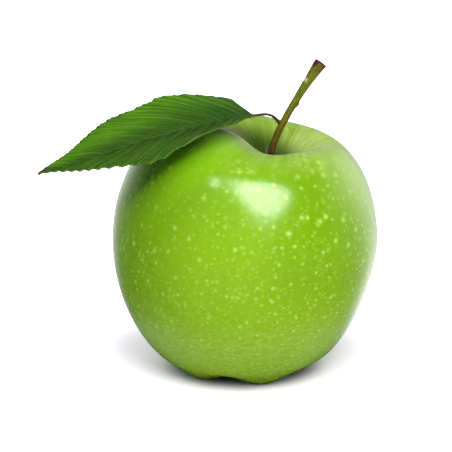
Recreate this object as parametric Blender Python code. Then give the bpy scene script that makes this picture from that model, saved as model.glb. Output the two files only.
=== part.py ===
"""A green apple at rest on its lobed foot, with its stem, one leaf and the dried calyx underneath.

Lengths are in millimetres from the middle of the fruit's foot, +Z up, and are scaled to metres as each mesh
is written. The origin of the finished part is the middle of the bounding box's base.
"""

import math

import bmesh
import bpy
import numpy as np
from mathutils import Vector

MM = 0.001
FOOT = Vector((8.6, 0.9, 0.0))  # the fruit's foot as seen from the part's origin

# The fruit's half section as (radius, height), from the mouth of the stem's hole, up the cavity wall and
# over the rim, down the flank, round the foot and up to the floor of the calyx basin.
SECTION = (
    (1.7, 59.0), (3.2, 60.2), (6.0, 63.1), (9.0, 66.9), (12.5, 70.2), (16.0, 71.8), (20.0, 72.5),
    (25.3, 70.9), (31.4, 65.3), (35.9, 55.4), (38.6, 43.2), (37.8, 31.2), (34.3, 19.5), (28.8, 9.8),
    (24.7, 5.6), (21.4, 3.7), (18.6, 2.5), (16.2, 1.7), (14.2, 1.2), (12.0, 1.6), (9.6, 3.2), (7.0, 5.4),
    (4.6, 7.6), (3.6, 8.4),
)
RING_SPACING = 2.8
AROUND = 72
BASIN_FLOOR = 8.6

# The hole that the stem stands in
SOCKET_RADIUS = 1.7
SOCKET_FLOOR = 55.4

# Five lobes stand round the foot, one for each chamber of the core.
LOBES = 5
LOBE_AZIMUTH = math.radians(-68.5)
LOBE_DROP = 3.45
LOBE_MEAN = 0.45  # share of the drop at which the plain section runs
LOBE_SHARPNESS = 0.01  # rounds the creases between lobes
LOBE_RADIUS, LOBE_SPREAD = 16.5, 5.8
LOBE_FADE = (26.0, 8.0)  # heights between which the lobes fade in, going down

# The rim round the cavity rises and falls; its heights stand every 36 degrees from the first lobe.
RIM_FIRST = math.radians(-65.0)
RIM_HEIGHTS = (-0.5, 0.1, -0.4, 0.0, -0.2, 0.5, -0.1, -0.1, 1.7, -1.7)
RIM_RADIUS, RIM_SPREAD = 18.0, 10.0
RIM_FADE = (50.0, 68.0)

# The cavity lies to the +X side of the fruit's middle.
CAVITY_OFFSET = 4.6
CAVITY_REACH = (10.0, 32.0)  # radii between which the offset fades out
CAVITY_FADE = (30.0, 50.0)

# The upper part of the fruit leans to +X, as it grew.
LEAN = math.radians(9.5)
LEAN_FADE = (9.0, 59.0)
LEAN_PIVOT = 35.0
DRIFT = -1.7
DRIFT_FADE = (39.0, 74.0)

# The stem, by the centres of its section and its radius there
STEM_PATH = ((8.2, 0.0, 65.8), (10.0, 0.0, 71.3), (12.0, 0.0, 75.4), (14.7, 0.0, 80.3), (17.5, 0.0, 84.9),
             (20.3, 0.0, 89.3), (22.2, 0.0, 92.1))
STEM_RADII = ((0.0, 1.3), (0.12, 1.25), (0.2, 1.05), (0.5, 1.0), (0.7, 1.05), (0.85, 1.3), (0.95, 1.7), (1.0, 1.85))
STEM_RINGS = 36
STEM_SIDES = 12
STEM_CLEARANCE = 0.4
BUD_AT, BUD_LENGTH, BUD_HEIGHT, BUD_WIDTH = 0.66, 0.022, 0.4, 0.6
CUT_DISH = 0.35  # depth of the dried hollow in the cut end

# The leaf's midrib from its base to its tip
MIDRIB = ((3.1, -1.5, 77.1), (-6.4, -10.5, 77.7), (-14.5, -16.5, 77.3), (-22.3, -20.8, 76.2), (-29.4, -23.9, 74.8),
          (-41.9, -29.0, 71.6), (-56.4, -34.0, 68.4))
# Tables along the midrib, by the share of its length: the half width, and in degrees how far the half away from
# the apple's front and the half towards it rise from the midrib, and the angle at which veins leave the midrib.
LEAF_WIDTHS = ((0.0, 0.8), (0.06, 4.2), (0.14, 8.4), (0.24, 11.7), (0.35, 14.7), (0.46, 16.0), (0.57, 16.0),
               (0.68, 13.8), (0.79, 10.9), (0.88, 6.2), (0.95, 2.7), (1.0, 0.5))
FAR_RISE = ((0.0, 57.0), (0.15, 41.0), (0.35, 23.5), (0.55, 15.0), (0.75, 9.0), (1.0, 0.0))
NEAR_RISE = ((0.0, 10.0), (0.15, 10.0), (0.35, 9.5), (0.55, -2.8), (0.75, -4.0), (1.0, 6.0))
VEIN_ANGLE = ((0.0, 44.0), (0.3, 36.0), (1.0, 31.0))
LEAF_CUP = 16.0  # how many degrees that rise falls off by from the midrib to the margin
LEAF_THICKNESS = 0.62
VEINS = 16
STEPS_PER_VEIN = 4
ROWS = (0.0, 0.22, 0.45, 0.68, 0.88, 1.0)  # shares of the half width at which the blade has points
TOOTH_DEPTH = 0.9
PUCKER = 0.22
MIDRIB_GROOVE = 0.35
WAVE_HEIGHT, WAVE_COUNT = 0.4, 3.2

# The petiole, from the leaf's base to just clear of the stem
PETIOLE = ((3.1, -1.5, 76.9), (5.8, -1.0, 77.2), (8.2, -0.6, 76.7), (10.0, -0.2, 75.0))
PETIOLE_RADIUS = 0.5
PETIOLE_SPACING = 0.8
RIB_RADIUS_TIP = 0.3
RIB_SIDES = 8

# The calyx: five dried sepals and a tuft of stamens on a small disc in the basin
SEPALS = 5
SEPAL_LENGTH, SEPAL_WIDTH = 6.0, 3.0
CALYX_DISC_RADIUS, CALYX_DISC_HEIGHT = 2.9, 1.2
CALYX_GAP = 0.5
STAMENS = 10
STAMEN_LENGTH, STAMEN_RADIUS = 3.6, 0.3

COLOURS = {
    # name: (red, green, blue), roughness
    "skin": ((0.30, 0.56, 0.04), 0.3),
    "leaf": ((0.06, 0.19, 0.02), 0.45),
    "stem": ((0.20, 0.22, 0.04), 0.6),
    "calyx": ((0.14, 0.09, 0.04), 0.8),
}


def clear_scene():
    for obj in list(bpy.data.objects):
        bpy.data.objects.remove(obj)


def material(name):
    colour, roughness = COLOURS[name]
    made = bpy.data.materials.new(name)
    made.use_nodes = True
    shader = made.node_tree.nodes["Principled BSDF"]
    shader.inputs["Base Color"].default_value = (*colour, 1.0)
    shader.inputs["Roughness"].default_value = roughness
    shader.inputs["Metallic"].default_value = 0.0
    return made


def spline(points, spacing):
    """Points on a natural cubic curve through the given ones, at most so far apart."""
    points = np.array(points, float)
    knots = np.concatenate([[0.0], np.cumsum(np.linalg.norm(np.diff(points, axis=0), axis=1))])
    return spline_at(points, knots, np.concatenate([
        np.linspace(a, b, math.ceil((b - a) / spacing), endpoint=False) for a, b in zip(knots, knots[1:])
    ] + [knots[-1:]]))


def spline_at(points, knots, where):
    """The same curve, read where its own length along the chords has these values."""
    points, knots, where = np.array(points, float), np.array(knots, float), np.array(where, float)
    gaps = np.diff(knots)
    size = len(knots)
    system = np.eye(size)
    right = np.zeros_like(points)
    for i in range(1, size - 1):
        system[i, i - 1:i + 2] = gaps[i - 1], 2 * (gaps[i - 1] + gaps[i]), gaps[i]
        right[i] = 6 * ((points[i + 1] - points[i]) / gaps[i] - (points[i] - points[i - 1]) / gaps[i - 1])
    bend = np.linalg.solve(system, right)
    i = np.clip(np.searchsorted(knots, where, side="right") - 1, 0, size - 2)
    gap, before, after = gaps[i][:, None], (where - knots[i])[:, None], (knots[i + 1] - where)[:, None]
    return (
        (bend[i] * after**3 + bend[i + 1] * before**3) / (6 * gap)
        + (points[i] / gap - bend[i] * gap / 6) * after
        + (points[i + 1] / gap - bend[i + 1] * gap / 6) * before
    )


def fade(start, end, value):
    """0 before start, 1 after end, and smooth between."""
    share = np.clip((value - start) / (end - start), 0.0, 1.0)
    return share * share * (3 - 2 * share)


def add_object(name, points, faces, colour):
    """A named object from points in millimetres round the fruit's foot."""
    mesh = bpy.data.meshes.new(name)
    mesh.from_pydata([(Vector(p) + FOOT) * MM for p in points], [], faces)
    mesh.validate()
    mesh.shade_smooth()
    mesh.set_sharp_from_angle(angle=math.radians(50))
    mesh.materials.append(material(colour))
    obj = bpy.data.objects.new(name, mesh)
    bpy.context.scene.collection.objects.link(obj)
    return obj


def ring_faces(rings, around, start=0):
    """Quads between rings of points, the first ring uppermost or innermost."""
    return [
        (start + i * around + j, start + (i + 1) * around + j,
         start + (i + 1) * around + (j + 1) % around, start + i * around + (j + 1) % around)
        for i in range(rings - 1) for j in range(around)
    ]


def fan(ring_start, around, centre, turned):
    pairs = [(ring_start + j, ring_start + (j + 1) % around) for j in range(around)]
    return [(b, a, centre) if turned else (a, b, centre) for a, b in pairs]


def grow(radius, azimuth, height):
    """Where a point of the plain turned fruit lies in the grown one: lobed, with an uneven rim, and leaning."""
    radius, azimuth, height = np.broadcast_arrays(np.array(radius, float), azimuth, height)
    lobe = np.sqrt(np.cos(LOBES / 2 * (azimuth - LOBE_AZIMUTH)) ** 2 + LOBE_SHARPNESS)
    foot = np.exp(-(((radius - LOBE_RADIUS) / LOBE_SPREAD) ** 2)) * fade(*LOBE_FADE, height)
    z = height - LOBE_DROP * (lobe - LOBE_MEAN) * foot
    rim = np.exp(-(((radius - RIM_RADIUS) / RIM_SPREAD) ** 2)) * fade(*RIM_FADE, z)
    z = z + rim_height(azimuth) * rim
    offset = CAVITY_OFFSET * (1 - fade(*CAVITY_REACH, radius)) * fade(*CAVITY_FADE, height)
    x = radius * np.cos(azimuth) + offset
    y = radius * np.sin(azimuth)
    angle = LEAN * fade(*LEAN_FADE, z)
    above = z - LEAN_PIVOT
    x, z = x * np.cos(angle) + above * np.sin(angle), LEAN_PIVOT - x * np.sin(angle) + above * np.cos(angle)
    x = x + DRIFT * fade(*DRIFT_FADE, z)
    return np.stack([x, y, np.maximum(z, 0.0)], axis=-1)


def rim_height(azimuth):
    """The rise of the rim at an azimuth: a smooth curve through its ten heights, carried round past both ends."""
    step = math.pi / 5
    heights = np.array(RIM_HEIGHTS * 3)[:, None]
    knots = RIM_FIRST + step * (np.arange(30) - 10)
    turned = RIM_FIRST + np.mod(azimuth - RIM_FIRST, 2 * math.pi)
    return spline_at(heights, knots, turned.ravel())[:, 0].reshape(turned.shape)


def make_fruit():
    section = np.concatenate([[(SOCKET_RADIUS, SOCKET_FLOOR)], spline(SECTION, RING_SPACING)])
    azimuth = np.arange(AROUND) * 2 * math.pi / AROUND
    points = grow(section[:, :1], azimuth, section[:, 1:]).reshape(-1, 3)
    top_centre, basin_centre = len(points), len(points) + 1
    points = np.concatenate([points, grow([0.0, 0.0], [0.0, 0.0], [SOCKET_FLOOR, BASIN_FLOOR])])
    faces = ring_faces(len(section), AROUND)
    faces += fan(0, AROUND, top_centre, turned=False)
    faces += fan((len(section) - 1) * AROUND, AROUND, basin_centre, turned=True)
    return add_object("fruit", points, faces, "skin")


def frames(path):
    """A direction along a path and two across it, at each of its points, without twist."""
    along = np.gradient(path, axis=0)
    along /= np.linalg.norm(along, axis=1)[:, None]
    side = np.cross(along, (0.0, 1.0, 0.0))
    side /= np.linalg.norm(side, axis=1)[:, None]
    return along, side, np.cross(along, side)


def tube(path, radii, sides, bump=None, dish=0.0):
    """Points and faces of a closed tube, its last end dished in."""
    along, side, up = frames(path)
    turn = np.arange(sides) * 2 * math.pi / sides
    rings = []
    for i, centre in enumerate(path):
        radius = radii[i] + (bump(i / (len(path) - 1), turn) if bump else 0.0)
        rings.append(centre + (radius * np.cos(turn))[:, None] * side[i] + (radius * np.sin(turn))[:, None] * up[i])
    points = np.concatenate(rings)
    faces = [face[::-1] for face in ring_faces(len(path), sides)]
    start, end = path[0], path[-1] - dish * along[-1]
    points = np.concatenate([points, [start, end]])
    faces += fan(0, sides, len(points) - 2, turned=True)
    faces += fan((len(path) - 1) * sides, sides, len(points) - 1, turned=False)
    return points, faces


def bud(share, turn):
    """The small bud scar on the stem's +X side."""
    across = np.angle(np.exp(1j * (turn - math.pi)))
    return BUD_HEIGHT * math.exp(-(((share - BUD_AT) / BUD_LENGTH) ** 2)) * np.exp(-((across / BUD_WIDTH) ** 2))


def make_stem():
    root = grow([0.0, 0.0], [0.0, 0.0], [SOCKET_FLOOR + STEM_CLEARANCE, SECTION[1][1]])
    corners = np.concatenate([root, np.array(STEM_PATH)])
    knots = np.concatenate([[0.0], np.cumsum(np.linalg.norm(np.diff(corners, axis=0), axis=1))])
    share = np.linspace(0, 1, STEM_RINGS + 1)
    path = spline_at(corners, knots, share * knots[-1])
    radii = np.interp(share, *np.array(STEM_RADII).T)
    points, faces = tube(path, radii, STEM_SIDES, bud, CUT_DISH)
    return add_object("stem", points, faces, "stem")


def along_leaf(table, share):
    """A table's value at shares of the midrib's length."""
    shares, values = np.array(table).T
    return spline_at(values[:, None], shares, np.clip(share, 0.0, 1.0))[:, 0]


def vein_ends(origin, length):
    """The share of the midrib's length abreast of which each vein meets the margin."""
    slope = np.tan(np.radians(along_leaf(VEIN_ANGLE, origin)))
    low, high = origin.copy(), np.ones_like(origin)
    for _ in range(40):
        middle = (low + high) / 2
        short = (middle - origin) * length * slope < along_leaf(LEAF_WIDTHS, middle)
        low, high = np.where(short, middle, low), np.where(short, high, middle)
    return high


def leaf_surface():
    """The blade's middle surface: points[column, row], its normals, and the midrib's own points."""
    corners = np.array(MIDRIB)
    knots = np.concatenate([[0.0], np.cumsum(np.linalg.norm(np.diff(corners, axis=0), axis=1))])
    length = knots[-1]
    columns = VEINS * STEPS_PER_VEIN + 1
    origin = np.linspace(0.0, 1.0, columns)  # where each vein leaves the midrib, as a share of its length
    phase = (np.arange(columns) % STEPS_PER_VEIN) / STEPS_PER_VEIN
    reach = vein_ends(origin, length)
    width = along_leaf(LEAF_WIDTHS, reach)
    far_rise, near_rise = np.radians(along_leaf(FAR_RISE, reach)), np.radians(along_leaf(NEAR_RISE, reach))
    # Each vein ends in the tip of a tooth that slopes up to it from the one before.
    tooth = TOOTH_DEPTH * np.mod(phase - 1 / STEPS_PER_VEIN, 1.0) / (1 - 1 / STEPS_PER_VEIN)
    tooth *= np.clip(width / 6.0, 0.15, 1.0)
    rows = np.concatenate([-np.array(ROWS[:0:-1]), ROWS])
    points = np.zeros((columns, len(rows), 3))
    for j, row in enumerate(rows):
        across = abs(row)
        share = origin + (reach - origin) * across**1.15
        inside = np.clip(share, 0.0, 1.0)
        centre = spline_at(corners, knots, inside * length)
        ahead = spline_at(corners, knots, np.clip(inside + 0.01, 0, 1) * length)
        behind = spline_at(corners, knots, np.clip(inside - 0.01, 0, 1) * length)
        along = ahead - behind
        along /= np.linalg.norm(along, axis=1)[:, None]
        centre = centre + along * ((share - inside) * length)[:, None]
        side = np.cross(along, (0.0, 0.0, 1.0))
        side /= np.linalg.norm(side, axis=1)[:, None]
        up = np.cross(side, along)
        out = (width + tooth * across**4) * across
        # The half's angle above the blade's own plane falls off towards the margin.
        steps = np.linspace(0.0, across, 9)[:, None]
        half = 1.0 if row >= 0 else -1.0
        angle = (far_rise if row >= 0 else near_rise) + math.radians(LEAF_CUP) * (0.5 - steps)
        flat = np.mean(np.cos(angle), axis=0)
        lift = np.mean(np.sin(angle), axis=0)
        pucker = -PUCKER * np.cos(2 * math.pi * phase) * math.sin(math.pi * min(across, 0.95)) ** 0.5
        groove = -MIDRIB_GROOVE * np.exp(-((out / 1.2) ** 2))
        wave = WAVE_HEIGHT * np.sin(2 * math.pi * WAVE_COUNT * share + half) * across**2 * np.clip(width / 8, 0, 1)
        lift_all = out * lift + pucker + groove + wave
        points[:, j] = centre + side * (half * out * flat)[:, None] + up * lift_all[:, None]
    normals = np.cross(np.gradient(points, axis=0), np.gradient(points, axis=1))
    normals /= np.linalg.norm(normals, axis=2)[:, :, None]
    if normals[columns // 2, len(rows) // 2, 2] < 0:
        normals = -normals
    return points, normals


def blade_mesh(points, normals):
    """A closed blade whose two faces are split into triangles alike."""
    columns, rows = points.shape[:2]
    half = LEAF_THICKNESS / 2
    top = (points + normals * half).reshape(-1, 3)
    bottom = (points - normals * half).reshape(-1, 3)
    count = columns * rows
    faces = []
    for i in range(columns - 1):
        for j in range(rows - 1):
            a, b, c, d = i * rows + j, (i + 1) * rows + j, (i + 1) * rows + j + 1, i * rows + j + 1
            for tri in ((a, b, c), (a, c, d)):
                faces.append(tri)
                faces.append(tuple(v + count for v in tri[::-1]))
    edge = [i * rows for i in range(columns)]
    edge += [(columns - 1) * rows + j for j in range(1, rows)]
    edge += [i * rows + rows - 1 for i in range(columns - 2, -1, -1)]
    edge += [j for j in range(rows - 2, 0, -1)]
    for a, b in zip(edge, edge[1:] + edge[:1]):
        faces.append((b, a, a + count))
        faces.append((b, a + count, b + count))
    return np.concatenate([top, bottom]), faces


def join_by_union(name, first, others):
    """One solid from overlapping ones, with the others removed."""
    group = bpy.data.collections.new(name + "_parts")
    bpy.context.scene.collection.children.link(group)
    for other in others:
        bpy.context.scene.collection.objects.unlink(other)
        group.objects.link(other)
    modifier = first.modifiers.new("union", "BOOLEAN")
    modifier.operation = "UNION"
    modifier.operand_type = "COLLECTION"
    modifier.collection = group
    modifier.solver = "EXACT"
    graph = bpy.context.evaluated_depsgraph_get()
    joined = bpy.data.meshes.new_from_object(first.evaluated_get(graph))
    first.modifiers.remove(modifier)
    first.data = joined
    first.data.name = name
    for other in others:
        bpy.data.objects.remove(other)
    bpy.data.collections.remove(group)
    return first


def make_leaf():
    points, normals = leaf_surface()
    blade = add_object("leaf", *blade_mesh(points, normals), "leaf")
    middle = len(points[0]) // 2
    under = points[:, middle] - normals[:, middle] * (LEAF_THICKNESS / 2 + 0.05)
    rib = np.concatenate([under[-4:3:-2], spline(PETIOLE, PETIOLE_SPACING)])
    share = np.linspace(0, 1, len(rib))
    radii = RIB_RADIUS_TIP + (PETIOLE_RADIUS - RIB_RADIUS_TIP) * share
    tube_points, tube_faces = tube(rib, radii, RIB_SIDES)
    petiole = add_object("petiole_and_rib", tube_points, tube_faces, "leaf")
    return join_by_union("leaf", blade, [petiole])


def sepal(index):
    """A pointed dried sepal that hangs from the disc and curls outwards at its tip."""
    azimuth = LOBE_AZIMUTH + (index + 0.5) * 2 * math.pi / SEPALS
    outward = np.array([math.cos(azimuth), math.sin(azimuth), 0.0])
    across = np.array([-math.sin(azimuth), math.cos(azimuth), 0.0])
    columns = 7
    share = np.linspace(0.0, 1.0, columns)
    # The sepal leans in towards the middle, then its tip turns out.
    turn = math.radians(-100) + math.radians(75) * share**1.5 + math.radians(6) * math.sin(2.3 * index)
    step = SEPAL_LENGTH / (columns - 1)
    out = 2.1 + np.concatenate([[0], np.cumsum(np.cos(turn[:-1]) * step)])
    down = np.concatenate([[0], np.cumsum(np.sin(turn[:-1]) * step)])
    width = SEPAL_WIDTH / 2 * np.sqrt(np.clip(1 - share**1.6, 0.02, 1))
    top = BASIN_FLOOR - CALYX_GAP - CALYX_DISC_HEIGHT * 0.5
    middle = out[:, None] * outward + np.array([0, 0, 1.0]) * (top + down)[:, None]
    face = np.stack([-np.sin(turn), np.cos(turn)], axis=1)
    normal = face[:, :1] * outward + face[:, 1:] * np.array([0, 0, 1.0])
    rows = np.array([-1.0, 0.0, 1.0])
    points = middle[:, None] + rows[None, :, None] * width[:, None, None] * across
    points = points - normal[:, None] * (np.abs(rows)[None, :, None] * 0.5)
    return points, np.repeat(normal[:, None], 3, axis=1)


def make_calyx():
    top = BASIN_FLOOR - CALYX_GAP
    disc_path = np.array([(0, 0, top), (0, 0, top - CALYX_DISC_HEIGHT * 0.6), (0, 0, top - CALYX_DISC_HEIGHT)], float)
    radii = [CALYX_DISC_RADIUS, CALYX_DISC_RADIUS * 0.95, CALYX_DISC_RADIUS * 0.7]
    disc = add_object("calyx", *tube(disc_path, radii, 20), "calyx")
    others = []
    for index in range(SEPALS):
        points, normals = sepal(index)
        others.append(add_object(f"sepal_{index}", *blade_mesh(points, normals), "calyx"))
    for index in range(STAMENS):
        azimuth = index * 2 * math.pi / STAMENS
        spread = 0.9 + 0.35 * math.sin(3.1 * index)
        foot = np.array([0.8 * math.cos(azimuth), 0.8 * math.sin(azimuth), top - CALYX_DISC_HEIGHT * 0.5])
        tip = foot + np.array([spread * math.cos(azimuth), spread * math.sin(azimuth), -STAMEN_LENGTH])
        path = np.linspace(foot, tip, 3)
        stamen_radii = [STAMEN_RADIUS, STAMEN_RADIUS * 0.8, STAMEN_RADIUS * 1.2]
        others.append(add_object(f"stamen_{index}", *tube(path, stamen_radii, 3), "calyx"))
    return join_by_union("calyx", disc, others)


def main():
    clear_scene()
    make_fruit()
    make_stem()
    make_leaf()
    make_calyx()


main()
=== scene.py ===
"""Looks of the green apple: a finer fruit, stem, leaf and calyx in place of the plain solids.

Lengths are in millimetres from the middle of the fruit's foot, +Z up, and are scaled to metres as each mesh
is written. The formulas of the shapes are the ones the solids were made with, drawn finer.
"""

import math

import bpy
import numpy as np
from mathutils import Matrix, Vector


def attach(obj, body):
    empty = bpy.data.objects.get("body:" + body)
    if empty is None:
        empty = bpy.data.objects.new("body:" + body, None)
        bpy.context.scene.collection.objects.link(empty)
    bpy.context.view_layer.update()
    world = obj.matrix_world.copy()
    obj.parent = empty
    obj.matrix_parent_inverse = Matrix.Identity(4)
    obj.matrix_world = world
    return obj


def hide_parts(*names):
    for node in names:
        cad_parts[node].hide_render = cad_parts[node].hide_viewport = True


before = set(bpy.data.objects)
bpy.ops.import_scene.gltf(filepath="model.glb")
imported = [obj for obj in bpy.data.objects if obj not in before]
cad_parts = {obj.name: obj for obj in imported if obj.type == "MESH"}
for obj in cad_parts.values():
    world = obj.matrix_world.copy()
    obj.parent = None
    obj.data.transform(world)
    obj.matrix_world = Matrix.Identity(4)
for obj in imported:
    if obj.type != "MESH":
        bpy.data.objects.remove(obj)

MM = 0.001
FOOT = Vector((8.6, 0.9, 0.0))  # the fruit's foot as seen from the part's origin

# The fruit's half section as (radius, height), from the stem's foot, up the cavity wall and over the rim,
# down the flank, round the foot and up to the floor of the calyx basin.
SECTION = (
    (1.7, 59.0), (3.2, 60.2), (6.0, 63.1), (9.0, 66.9), (12.5, 70.2), (16.0, 71.8), (20.0, 72.5),
    (25.3, 70.9), (31.4, 65.3), (35.9, 55.4), (38.6, 43.2), (37.8, 31.2), (34.3, 19.5), (28.8, 9.8),
    (24.7, 5.6), (21.4, 3.7), (18.6, 2.5), (16.2, 1.7), (14.2, 1.2), (12.0, 1.6), (9.6, 3.2), (7.0, 5.4),
    (4.6, 7.6), (3.6, 8.4),
)
WIDEST = 38.6
AROUND = 300
RING_SPACING = 0.8
COLLAR_SPACING = 0.3
SOCKET_FLOOR = 55.4
COLLAR = ((0.9, 58.2), (1.3, 58.7))  # the flesh closes round the foot of the stem
BASIN_FLOOR = 8.6

# Five lobes stand round the foot, one for each chamber of the core.
LOBES = 5
LOBE_AZIMUTH = math.radians(-68.5)
LOBE_DROP = 3.45
LOBE_MEAN = 0.45
LOBE_SHARPNESS = 0.01
LOBE_RADIUS, LOBE_SPREAD = 16.5, 5.8
LOBE_FADE = (26.0, 8.0)

# The rim round the cavity rises and falls; its heights stand every 36 degrees from this azimuth.
RIM_FIRST = math.radians(-65.0)
RIM_HEIGHTS = (-0.5, 0.1, -0.4, 0.0, -0.2, 0.5, -0.1, -0.1, 1.7, -1.7)
RIM_RADIUS, RIM_SPREAD = 18.0, 10.0
RIM_FADE = (50.0, 68.0)

# The cavity lies to the +X side of the fruit's middle.
CAVITY_OFFSET = 4.6
CAVITY_REACH = (10.0, 32.0)
CAVITY_FADE = (30.0, 50.0)

# The upper part of the fruit leans to +X, as it grew.
LEAN = math.radians(9.5)
LEAN_FADE = (9.0, 59.0)
LEAN_PIVOT = 35.0
DRIFT = -1.7
DRIFT_FADE = (39.0, 74.0)

# The skin's tone by the share of the way along the section; the last stops darken it round the foot as
# painted shade
SKIN_TONES = (
    (0.0, (70, 74, 16)), (0.045, (92, 112, 20)), (0.11, (110, 142, 26)), (0.19, (118, 160, 26)),
    (0.3, (110, 157, 8)), (0.52, (118, 162, 12)), (0.79, (117, 159, 14)), (0.88, (70, 98, 10)),
    (1.0, (62, 80, 14)),
)
# The leaf lies in this direction from the part's origin. Towards it the skin has a painted pool of light and
# then the leaf's painted shadow, and each fades in between two distances from the origin.
LEAFWARD = (-0.54, 0.346, 0.767)
PAINTED_LIGHT_REACH = (37.0, 50.0)
PAINTED_LEAF_SHADOW_REACH = (48.3, 52.2)
# The pale dots lie on a ball that the skin is spread over without shear, swollen towards the foot so that
# they come smaller and closer together there.
DOT_BALL = 38.0
DOT_SWELL = 1.8
# Layers of dots: cells to a millimetre, the least and most radius as shares of a cell, and the strength
DOT_LAYERS = ((0.50, 0.32, 0.47, 0.8), (0.36, 0.20, 0.32, 0.85), (0.85, 0.36, 0.54, 0.6))
DOT_LAYER_SHIFT = 17.0

# The stem, by the centres of its rings above the cavity's floor, and by its radius and its tone along it
STEM_PATH = (
    (8.2, 0.0, 65.8), (10.0, 0.0, 71.3), (12.0, 0.0, 75.4), (14.7, 0.0, 80.3), (17.5, 0.0, 84.9),
    (20.3, 0.0, 89.3), (22.2, 0.0, 92.1),
)
STEM_RADII = (
    (0.0, 1.3), (0.12, 1.25), (0.2, 1.05), (0.5, 1.0), (0.7, 1.05), (0.85, 1.3), (0.95, 1.7), (1.0, 1.85),
)
STEM_TONES = (
    (0.0, (34, 20, 4)), (0.27, (50, 32, 4)), (0.37, (86, 76, 4)), (0.5, (96, 98, 8)), (0.72, (88, 106, 14)),
    (0.9, (98, 102, 14)), (1.0, (84, 70, 20)),
)
STEM_RINGS = 220
STEM_SIDES = 64
STEM_CLEARANCE = 0.4
BUD_AT, BUD_LENGTH, BUD_HEIGHT, BUD_WIDTH = 0.66, 0.022, 0.4, 0.6
CUT_DISH = 0.35

# The leaf's midrib from its base to its tip
MIDRIB = (
    (3.1, -1.5, 77.1), (-6.4, -10.5, 77.7), (-14.5, -16.5, 77.3), (-22.3, -20.8, 76.2),
    (-29.4, -23.9, 74.8), (-41.9, -29.0, 71.6), (-56.4, -34.0, 68.4),
)
# Tables along the midrib, by the share of its length: the half width, and in degrees how far the half away
# from the apple's front and the half towards it rise, and the angle at which veins leave the midrib
LEAF_WIDTHS = (
    (0.0, 0.8), (0.06, 4.2), (0.14, 8.4), (0.24, 11.7), (0.35, 14.7), (0.46, 16.0), (0.57, 16.0),
    (0.68, 13.8), (0.79, 10.9), (0.88, 6.2), (0.95, 2.7), (1.0, 0.5),
)
FAR_RISE = ((0.0, 57.0), (0.15, 41.0), (0.35, 23.5), (0.55, 15.0), (0.75, 9.0), (1.0, 0.0))
NEAR_RISE = ((0.0, 10.0), (0.15, 10.0), (0.35, 9.5), (0.55, -2.8), (0.75, -4.0), (1.0, 6.0))
VEIN_ANGLE = ((0.0, 44.0), (0.3, 36.0), (1.0, 31.0))
VEIN_SLANT = math.radians(35)  # their usual angle
LEAF_CUP = math.radians(16.0)
BLADE_THICKNESS = 0.3
VEINS = 16
STEPS_PER_VEIN = 24
BLADE_ROWS = 26
TOOTH_DEPTH, TOOTH_DROP = 0.9, 0.2
SMALL_TOOTH_DEPTH = 0.42
SMALL_TEETH = 3
PUCKER = 0.24
VEIN_GROOVE, VEIN_GROOVE_WIDTH = 0.09, 0.28
MIDRIB_GROOVE, MIDRIB_GROOVE_WIDTH = 0.35, 1.2
WAVE_HEIGHT, WAVE_COUNT = 0.4, 3.2
BLADE_MARKS = ("vein_gap", "rib_gap", "across", "along", "half")

# The petiole, from the leaf's base to the stem, and how thick it and the rib are along their whole length
PETIOLE = ((3.1, -1.5, 76.9), (5.8, -1.0, 77.2), (8.2, -0.6, 76.7), (10.0, -0.2, 75.0), (10.8, -0.1, 73.9))
RIB_RADII = ((0.0, 0.15), (0.85, 0.38), (0.95, 0.38), (1.0, 0.55))
RIB_TONES = (
    (0.0, (74, 78, 40)), (0.5, (126, 148, 82)), (0.8, (70, 84, 30)), (0.88, (44, 42, 20)),
    (1.0, (48, 36, 18)),
)
RIB_SIDES = 16
RIB_SPACING = 0.35
RIB_SUNK = 0.1  # how far the rib's middle lies below the blade's lower face

# The calyx: five dried sepals and a tuft of stamens on a small disc in the basin
CALYX_TOP = BASIN_FLOOR - 0.5
CALYX_DISC_RADIUS, CALYX_DISC_HEIGHT, CALYX_DISC_RISE = 2.9, 1.2, 0.35
CALYX_DISC_RADII = ((0.0, 1.0), (0.7, 0.97), (0.9, 0.85), (1.0, 0.6))
CALYX_TONES = ((0.0, (44, 32, 20)), (0.5, (92, 74, 46)), (1.0, (150, 136, 98)))
SEPALS = 5
SEPAL_LENGTH, SEPAL_WIDTH, SEPAL_THICKNESS = 6.0, 3.0, 0.35
SEPAL_FROM = 2.1
SEPAL_COLUMNS, SEPAL_ROWS = 31, 13
STAMENS = 10
STAMEN_LENGTH, STAMEN_RADIUS = 3.6, 0.22
STAMEN_FROM = 0.8
STAMEN_RADII = ((0.0, 1.0), (0.7, 0.7), (0.85, 1.4), (0.95, 1.4), (1.0, 0.5))

# The camera, from the fruit's foot
CAMERA_AT = (-4.97, -573.93, 210.14)
CAMERA_AIM = (-4.97, 2.25, 42.74)
CAMERA_LENS, CAMERA_SENSOR = 162.4, 36.0

# The studio: boxes of light, each by the point that faces it, the direction from there, its distance, width,
# height and power. The gleam boxes only show as gleams and light nothing.
MIDDLE_GLEAM = (6.6, -33.4, 60.5)
LEFT_GLEAM = (-2.2, -32.2, 63.6)
FAR_LEFT_GLEAM = (-7.6, -30.8, 64.4)
SOFT_BOXES = (
    ("soft_box_core", MIDDLE_GLEAM, (0.307, -0.689, 0.656), 750.0, 590.0, 590.0, 5.7),
    ("soft_box_arm", LEFT_GLEAM, (-0.089, -0.637, 0.766), 750.0, 240.0, 370.0, 0.5),
)
GLEAM_BOXES = (
    ("gleam_core", MIDDLE_GLEAM, (0.25, -0.72, 0.64), 720.0, 580.0, 560.0, 4.0),
    ("gleam_heart", MIDDLE_GLEAM, (0.24, -0.75, 0.61), 700.0, 400.0, 380.0, 1.3),
    ("gleam_arm", LEFT_GLEAM, (-0.04, -0.64, 0.77), 720.0, 250.0, 330.0, 0.75),
    ("gleam_spot", FAR_LEFT_GLEAM, (-0.384, -0.548, 0.743), 900.0, 120.0, 230.0, 0.85),
)
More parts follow.
